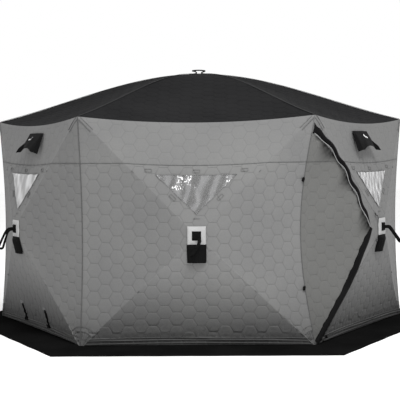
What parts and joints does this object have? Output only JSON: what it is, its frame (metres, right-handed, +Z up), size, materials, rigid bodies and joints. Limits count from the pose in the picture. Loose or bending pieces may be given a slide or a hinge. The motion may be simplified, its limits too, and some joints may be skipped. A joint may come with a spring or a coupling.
{
  "type": "ice fishing shelter",
  "caption": "Six-sided pop-up ice fishing shelter with quilted walls and a domed roof on sprung hubs and rods, windows, vents, a corner door and a snow skirt.",
  "frame": {"origin": "centre of the plan on the ground", "axes": "+Z up, +X along the front wall to the right seen from the front, -Y out through the front wall"},
  "size_m": [4.316, 3.7376, 2.233],
  "materials": {
    "wall_cloth": "quilted, matt",
    "door_cloth": "quilted, matt",
    "cover_cloth": "woven",
    "hub_plastic": "moulded",
    "wall_rod": "satin",
    "roof_rod": "satin",
    "roof_cloth": "quilted, matt",
    "skirt_cloth": "coated",
    "clear_film": "clear",
    "bracket_plastic": "moulded",
    "webbing": "woven",
    "hood_cloth": "coated",
    "slider": "satin"
  },
  "bodies": {
    "shelter": {"roof_canopy": "roof_cloth", "snow_skirt": "skirt_cloth", "window_films": "clear_film", "corner_brackets": "bracket_plastic", "tie_straps": "webbing", "wall_front": "wall_cloth", "wall_front_right": "wall_cloth", "wall_back_right": "wall_cloth", "wall_back": "wall_cloth", "wall_back_left": "wall_cloth", "wall_front_left": "wall_cloth"},
    "door": {"door_panel": "door_cloth"},
    "vent_left": {"vent_hood_left": "hood_cloth"},
    "vent_right": {"vent_hood_right": "hood_cloth"},
    "upper_slider": {"zip_slider_upper": "slider"},
    "lower_slider": {"zip_slider_lower": "slider"},
    "roof_centre": {"roof_hub": "hub_plastic", "roof_cap": "webbing"},
    "front_centre": {"hub_front": "hub_plastic", "hub_cover_front": "cover_cloth"},
    "front_upper_left": {"rod_front_upper_left": "wall_rod"},
    "front_upper_right": {"rod_front_upper_right": "wall_rod"},
    "front_lower_left": {"rod_front_lower_left": "wall_rod"},
    "front_lower_right": {"rod_front_lower_right": "wall_rod"},
    "front_right_centre": {"hub_front_right": "hub_plastic", "hub_cover_front_right": "cover_cloth"},
    "front_right_upper_left": {"rod_front_right_upper_left": "wall_rod"},
    "front_right_upper_right": {"rod_front_right_upper_right": "wall_rod"},
    "front_right_lower_left": {"rod_front_right_lower_left": "wall_rod"},
    "front_right_lower_right": {"rod_front_right_lower_right": "wall_rod"},
    "back_right_centre": {"hub_back_right": "hub_plastic", "hub_cover_back_right": "cover_cloth"},
    "back_right_upper_left": {"rod_back_right_upper_left": "wall_rod"},
    "back_right_upper_right": {"rod_back_right_upper_right": "wall_rod"},
    "back_right_lower_left": {"rod_back_right_lower_left": "wall_rod"},
    "back_right_lower_right": {"rod_back_right_lower_right": "wall_rod"},
    "back_centre": {"hub_back": "hub_plastic", "hub_cover_back": "cover_cloth"},
    "back_upper_left": {"rod_back_upper_left": "wall_rod"},
    "back_upper_right": {"rod_back_upper_right": "wall_rod"},
    "back_lower_left": {"rod_back_lower_left": "wall_rod"},
    "back_lower_right": {"rod_back_lower_right": "wall_rod"},
    "back_left_centre": {"hub_back_left": "hub_plastic", "hub_cover_back_left": "cover_cloth"},
    "back_left_upper_left": {"rod_back_left_upper_left": "wall_rod"},
    "back_left_upper_right": {"rod_back_left_upper_right": "wall_rod"},
    "back_left_lower_left": {"rod_back_left_lower_left": "wall_rod"},
    "back_left_lower_right": {"rod_back_left_lower_right": "wall_rod"},
    "front_left_centre": {"hub_front_left": "hub_plastic", "hub_cover_front_left": "cover_cloth"},
    "front_left_upper_left": {"rod_front_left_upper_left": "wall_rod"},
    "front_left_upper_right": {"rod_front_left_upper_right": "wall_rod"},
    "front_left_lower_left": {"rod_front_left_lower_left": "wall_rod"},
    "front_left_lower_right": {"rod_front_left_lower_right": "wall_rod"},
    "roof_1": {"roof_rod_1": "roof_rod"},
    "roof_2": {"roof_rod_2": "roof_rod"},
    "roof_3": {"roof_rod_3": "roof_rod"},
    "roof_4": {"roof_rod_4": "roof_rod"},
    "roof_5": {"roof_rod_5": "roof_rod"},
    "roof_6": {"roof_rod_6": "roof_rod"}
  },
  "joints": [
    {"name": "hub_front_pop", "type": "slide", "parent": "shelter", "child": "front_centre", "axis": [0, -1, 0], "range_m": [-0.328, 0]},
    {"name": "rod_front_upper_left_turn", "type": "hinge", "parent": "front_centre", "child": "front_upper_left", "pos_m": [-0.03184, -1.70685, 0.9098], "axis": [0.7067, 0, 0.7075], "range_deg": [0, 16.21]},
    {"name": "rod_front_upper_right_turn", "type": "hinge", "parent": "front_centre", "child": "front_upper_right", "pos_m": [0.03184, -1.70685, 0.9098], "axis": [0.7067, 0, -0.7075], "range_deg": [0, 16.21]},
    {"name": "rod_front_lower_left_turn", "type": "hinge", "parent": "front_centre", "child": "front_lower_left", "pos_m": [-0.03239, -1.70685, 0.84676], "axis": [-0.6942, 0, 0.7197], "range_deg": [0, 16.5]},
    {"name": "rod_front_lower_right_turn", "type": "hinge", "parent": "front_centre", "child": "front_lower_right", "pos_m": [0.03239, -1.70685, 0.84676], "axis": [-0.6942, 0, -0.7197], "range_deg": [0, 16.5]},
    {"name": "hub_front_right_pop", "type": "slide", "parent": "shelter", "child": "front_right_centre", "axis": [0.866, -0.5, 0], "range_m": [-0.328, 0]},
    {"name": "rod_front_right_upper_left_turn", "type": "hinge", "parent": "front_right_centre", "child": "front_right_upper_left", "pos_m": [1.46225, -0.881, 0.9098], "axis": [0.3533, 0.612, 0.7075], "range_deg": [0, 16.21]},
    {"name": "rod_front_right_upper_right_turn", "type": "hinge", "parent": "front_right_centre", "child": "front_right_upper_right", "pos_m": [1.49409, -0.82585, 0.9098], "axis": [0.3533, 0.612, -0.7075], "range_deg": [0, 16.21]},
    {"name": "rod_front_right_lower_left_turn", "type": "hinge", "parent": "front_right_centre", "child": "front_right_lower_left", "pos_m": [1.46198, -0.88147, 0.84676], "axis": [-0.3471, -0.6012, 0.7197], "range_deg": [0, 16.5]},
    {"name": "rod_front_right_lower_right_turn", "type": "hinge", "parent": "front_right_centre", "child": "front_right_lower_right", "pos_m": [1.49437, -0.82537, 0.84676], "axis": [-0.3471, -0.6012, -0.7197], "range_deg": [0, 16.5]},
    {"name": "hub_back_right_pop", "type": "slide", "parent": "shelter", "child": "back_right_centre", "axis": [0.866, 0.5, 0], "range_m": [-0.328, 0]},
    {"name": "rod_back_right_upper_left_turn", "type": "hinge", "parent": "back_right_centre", "child": "back_right_upper_left", "pos_m": [1.49409, 0.82585, 0.9098], "axis": [-0.3533, 0.612, 0.7075], "range_deg": [0, 16.21]},
    {"name": "rod_back_right_upper_right_turn", "type": "hinge", "parent": "back_right_centre", "child": "back_right_upper_right", "pos_m": [1.46225, 0.881, 0.9098], "axis": [-0.3533, 0.612, -0.7075], "range_deg": [0, 16.21]},
    {"name": "rod_back_right_lower_left_turn", "type": "hinge", "parent": "back_right_centre", "child": "back_right_lower_left", "pos_m": [1.49437, 0.82537, 0.84676], "axis": [0.3471, -0.6012, 0.7197], "range_deg": [0, 16.5]},
    {"name": "rod_back_right_lower_right_turn", "type": "hinge", "parent": "back_right_centre", "child": "back_right_lower_right", "pos_m": [1.46198, 0.88147, 0.84676], "axis": [0.3471, -0.6012, -0.7197], "range_deg": [0, 16.5]},
    {"name": "hub_back_pop", "type": "slide", "parent": "shelter", "child": "back_centre", "axis": [0, 1, 0], "range_m": [-0.328, 0]},
    {"name": "rod_back_upper_left_turn", "type": "hinge", "parent": "back_centre", "child": "back_upper_left", "pos_m": [0.03184, 1.70685, 0.9098], "axis": [-0.7067, 0, 0.7075], "range_deg": [0, 16.21]},
    {"name": "rod_back_upper_right_turn", "type": "hinge", "parent": "back_centre", "child": "back_upper_right", "pos_m": [-0.03184, 1.70685, 0.9098], "axis": [-0.7067, 0, -0.7075], "range_deg": [0, 16.21]},
    {"name": "rod_back_lower_left_turn", "type": "hinge", "parent": "back_centre", "child": "back_lower_left", "pos_m": [0.03239, 1.70685, 0.84676], "axis": [0.6942, 0, 0.7197], "range_deg": [0, 16.5]},
    {"name": "rod_back_lower_right_turn", "type": "hinge", "parent": "back_centre", "child": "back_lower_right", "pos_m": [-0.03239, 1.70685, 0.84676], "axis": [0.6942, 0, -0.7197], "range_deg": [0, 16.5]},
    {"name": "hub_back_left_pop", "type": "slide", "parent": "shelter", "child": "back_left_centre", "axis": [-0.866, 0.5, 0], "range_m": [-0.328, 0]},
    {"name": "rod_back_left_upper_left_turn", "type": "hinge", "parent": "back_left_centre", "child": "back_left_upper_left", "pos_m": [-1.46225, 0.881, 0.9098], "axis": [-0.3533, -0.612, 0.7075], "range_deg": [0, 16.21]},
    {"name": "rod_back_left_upper_right_turn", "type": "hinge", "parent": "back_left_centre", "child": "back_left_upper_right", "pos_m": [-1.49409, 0.82585, 0.9098], "axis": [-0.3533, -0.612, -0.7075], "range_deg": [0, 16.21]},
    {"name": "rod_back_left_lower_left_turn", "type": "hinge", "parent": "back_left_centre", "child": "back_left_lower_left", "pos_m": [-1.46198, 0.88147, 0.84676], "axis": [0.3471, 0.6012, 0.7197], "range_deg": [0, 16.5]},
    {"name": "rod_back_left_lower_right_turn", "type": "hinge", "parent": "back_left_centre", "child": "back_left_lower_right", "pos_m": [-1.49437, 0.82537, 0.84676], "axis": [0.3471, 0.6012, -0.7197], "range_deg": [0, 16.5]},
    {"name": "hub_front_left_pop", "type": "slide", "parent": "shelter", "child": "front_left_centre", "axis": [-0.866, -0.5, 0], "range_m": [-0.328, 0]},
    {"name": "rod_front_left_upper_left_turn", "type": "hinge", "parent": "front_left_centre", "child": "front_left_upper_left", "pos_m": [-1.49409, -0.82585, 0.9098], "axis": [0.3533, -0.612, 0.7075], "range_deg": [0, 16.21]},
    {"name": "rod_front_left_upper_right_turn", "type": "hinge", "parent": "front_left_centre", "child": "front_left_upper_right", "pos_m": [-1.46225, -0.881, 0.9098], "axis": [0.3533, -0.612, -0.7075], "range_deg": [0, 16.21]},
    {"name": "rod_front_left_lower_left_turn", "type": "hinge", "parent": "front_left_centre", "child": "front_left_lower_left", "pos_m": [-1.49437, -0.82537, 0.84676], "axis": [-0.3471, 0.6012, 0.7197], "range_deg": [0, 16.5]},
    {"name": "rod_front_left_lower_right_turn", "type": "hinge", "parent": "front_left_centre", "child": "front_left_lower_right", "pos_m": [-1.46198, -0.88147, 0.84676], "axis": [-0.3471, 0.6012, -0.7197], "range_deg": [0, 16.5]},
    {"name": "roof_hub_drop", "type": "slide", "parent": "shelter", "child": "roof_centre", "axis": [0, 0, 1], "range_m": [-0.79348, 0]},
    {"name": "roof_rod_1_turn", "type": "hinge", "parent": "roof_centre", "child": "roof_1", "pos_m": [0.024, 0.04157, 2.16246], "axis": [0.866, -0.5, 0], "range_deg": [0, 26.55]},
    {"name": "roof_rod_2_turn", "type": "hinge", "parent": "roof_centre", "child": "roof_2", "pos_m": [-0.024, 0.04157, 2.16246], "axis": [0.866, 0.5, 0], "range_deg": [0, 26.55]},
    {"name": "roof_rod_3_turn", "type": "hinge", "parent": "roof_centre", "child": "roof_3", "pos_m": [-0.048, 0, 2.16246], "axis": [0, 1, 0], "range_deg": [0, 26.55]},
    {"name": "roof_rod_4_turn", "type": "hinge", "parent": "roof_centre", "child": "roof_4", "pos_m": [-0.024, -0.04157, 2.16246], "axis": [-0.866, 0.5, 0], "range_deg": [0, 26.55]},
    {"name": "roof_rod_5_turn", "type": "hinge", "parent": "roof_centre", "child": "roof_5", "pos_m": [0.024, -0.04157, 2.16246], "axis": [-0.866, -0.5, 0], "range_deg": [0, 26.55]},
    {"name": "roof_rod_6_turn", "type": "hinge", "parent": "roof_centre", "child": "roof_6", "pos_m": [0.048, 0, 2.16246], "axis": [0, -1, 0], "range_deg": [0, 26.55]},
    {"name": "door_swing", "type": "hinge", "parent": "shelter", "child": "door", "pos_m": [0.9, -1.55885, 0.878], "axis": [0, 0, -1], "range_deg": [0, 120]},
    {"name": "vent_left_fold", "type": "hinge", "parent": "shelter", "child": "vent_left", "pos_m": [-1.33318, -0.86209, 1.66001], "axis": [0.5, -0.866, 0], "range_deg": [0, 16]},
    {"name": "vent_right_fold", "type": "hinge", "parent": "shelter", "child": "vent_right", "pos_m": [1.33318, -0.86209, 1.66001], "axis": [0.5, 0.866, 0], "range_deg": [0, 16]},
    {"name": "zip_upper_run", "type": "slide", "parent": "front_right_upper_left", "child": "upper_slider", "axis": [-0.4778, -0.5321, 0.699], "range_m": [0, 0.981]},
    {"name": "zip_lower_run", "type": "slide", "parent": "front_right_lower_left", "child": "lower_slider", "axis": [-0.4854, -0.5406, -0.6872], "range_m": [0, 0.961]}
  ],
  "couplings": [
    {"joint": "rod_front_upper_left_turn", "follows": "hub_front_pop", "rad_per_m": -0.86216},
    {"joint": "rod_front_upper_right_turn", "follows": "hub_front_pop", "rad_per_m": -0.86216},
    {"joint": "rod_front_lower_left_turn", "follows": "hub_front_pop", "rad_per_m": -0.87743},
    {"joint": "rod_front_lower_right_turn", "follows": "hub_front_pop", "rad_per_m": -0.87743},
    {"joint": "rod_front_right_upper_left_turn", "follows": "hub_front_right_pop", "rad_per_m": -0.86216},
    {"joint": "rod_front_right_upper_right_turn", "follows": "hub_front_right_pop", "rad_per_m": -0.86216},
    {"joint": "rod_front_right_lower_left_turn", "follows": "hub_front_right_pop", "rad_per_m": -0.87743},
    {"joint": "rod_front_right_lower_right_turn", "follows": "hub_front_right_pop", "rad_per_m": -0.87743},
    {"joint": "rod_back_right_upper_left_turn", "follows": "hub_back_right_pop", "rad_per_m": -0.86216},
    {"joint": "rod_back_right_upper_right_turn", "follows": "hub_back_right_pop", "rad_per_m": -0.86216},
    {"joint": "rod_back_right_lower_left_turn", "follows": "hub_back_right_pop", "rad_per_m": -0.87743},
    {"joint": "rod_back_right_lower_right_turn", "follows": "hub_back_right_pop", "rad_per_m": -0.87743},
    {"joint": "rod_back_upper_left_turn", "follows": "hub_back_pop", "rad_per_m": -0.86216},
    {"joint": "rod_back_upper_right_turn", "follows": "hub_back_pop", "rad_per_m": -0.86216},
    {"joint": "rod_back_lower_left_turn", "follows": "hub_back_pop", "rad_per_m": -0.87743},
    {"joint": "rod_back_lower_right_turn", "follows": "hub_back_pop", "rad_per_m": -0.87743},
    {"joint": "rod_back_left_upper_left_turn", "follows": "hub_back_left_pop", "rad_per_m": -0.86216},
    {"joint": "rod_back_left_upper_right_turn", "follows": "hub_back_left_pop", "rad_per_m": -0.86216},
    {"joint": "rod_back_left_lower_left_turn", "follows": "hub_back_left_pop", "rad_per_m": -0.87743},
    {"joint": "rod_back_left_lower_right_turn", "follows": "hub_back_left_pop", "rad_per_m": -0.87743},
    {"joint": "rod_front_left_upper_left_turn", "follows": "hub_front_left_pop", "rad_per_m": -0.86216},
    {"joint": "rod_front_left_upper_right_turn", "follows": "hub_front_left_pop", "rad_per_m": -0.86216},
    {"joint": "rod_front_left_lower_left_turn", "follows": "hub_front_left_pop", "rad_per_m": -0.87743},
    {"joint": "rod_front_left_lower_right_turn", "follows": "hub_front_left_pop", "rad_per_m": -0.87743},
    {"joint": "roof_rod_1_turn", "follows": "roof_hub_drop", "rad_per_m": -0.58386},
    {"joint": "roof_rod_2_turn", "follows": "roof_hub_drop", "rad_per_m": -0.58386},
    {"joint": "roof_rod_3_turn", "follows": "roof_hub_drop", "rad_per_m": -0.58386},
    {"joint": "roof_rod_4_turn", "follows": "roof_hub_drop", "rad_per_m": -0.58386},
    {"joint": "roof_rod_5_turn", "follows": "roof_hub_drop", "rad_per_m": -0.58386},
    {"joint": "roof_rod_6_turn", "follows": "roof_hub_drop", "rad_per_m": -0.58386}
  ]
}
